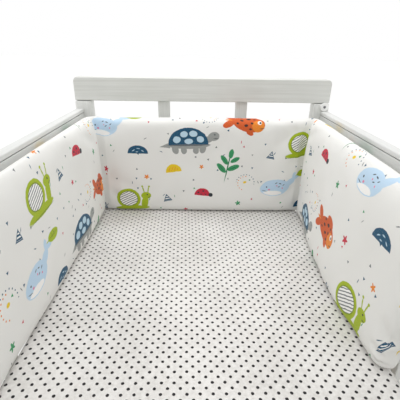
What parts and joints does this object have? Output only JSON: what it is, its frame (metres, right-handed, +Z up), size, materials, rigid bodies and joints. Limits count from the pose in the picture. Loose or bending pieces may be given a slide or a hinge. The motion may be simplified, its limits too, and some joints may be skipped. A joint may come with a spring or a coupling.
{
  "type": "padded cot bumper in a wooden cot",
  "caption": "Padded U-shaped cot bumper, a baby bed reducer, standing on the dotted fitted sheet of a plain white wooden cot",
  "frame": {"origin": "on the floor, at the middle of the cot's outline", "axes": "+Z up, +Y towards the head end, +X to the right of someone who looks at the head end"},
  "size_m": [0.727, 1.3, 0.906],
  "materials": {
    "cotton_print": "printed plain-weave cotton",
    "dotted_cotton": "dotted cotton sheeting",
    "mattress_ticking": "plain mattress ticking",
    "painted_wood": "white satin paint over fine grain",
    "base_ply": "bare plywood",
    "cap_plastic": "satin",
    "screw_steel": "dark"
  },
  "bodies": {
    "root": {"base_cleat_left": "painted_wood", "base_cleat_right": "painted_wood", "bed_base": "base_ply", "bumper": "cotton_print", "fitted_sheet": "dotted_cotton", "foot_low_rail": "painted_wood", "foot_slat_1": "painted_wood", "foot_slat_2": "painted_wood", "foot_slat_3": "painted_wood", "foot_slat_4": "painted_wood", "foot_slat_5": "painted_wood", "foot_slat_6": "painted_wood", "foot_top_rail": "painted_wood", "head_low_rail": "painted_wood", "head_middle_rail": "painted_wood", "head_slat_1": "painted_wood", "head_slat_2": "painted_wood", "head_slat_3": "painted_wood", "head_slat_4": "painted_wood", "head_slat_5": "painted_wood", "head_slat_6": "painted_wood", "head_top_rail": "painted_wood", "head_window_slat_1": "painted_wood", "head_window_slat_2": "painted_wood", "mattress": "mattress_ticking", "post_cap": "cap_plastic", "post_cap_screw": "screw_steel", "post_foot_left": "painted_wood", "post_foot_right": "painted_wood", "post_head_left": "painted_wood", "post_head_right": "painted_wood", "side_low_rail_left": "painted_wood", "side_low_rail_right": "painted_wood", "side_rail_left": "painted_wood", "side_rail_right": "painted_wood", "side_slat_left_01": "painted_wood", "side_slat_left_02": "painted_wood", "side_slat_left_03": "painted_wood", "side_slat_left_04": "painted_wood", "side_slat_left_05": "painted_wood", "side_slat_left_06": "painted_wood", "side_slat_left_07": "painted_wood", "side_slat_left_08": "painted_wood", "side_slat_left_09": "painted_wood", "side_slat_left_10": "painted_wood", "side_slat_left_11": "painted_wood", "side_slat_left_12": "painted_wood", "side_slat_right_01": "painted_wood", "side_slat_right_02": "painted_wood", "side_slat_right_03": "painted_wood", "side_slat_right_04": "painted_wood", "side_slat_right_05": "painted_wood", "side_slat_right_06": "painted_wood", "side_slat_right_07": "painted_wood", "side_slat_right_08": "painted_wood", "side_slat_right_09": "painted_wood", "side_slat_right_10": "painted_wood", "side_slat_right_11": "painted_wood", "side_slat_right_12": "painted_wood"}
  },
  "joints": []
}
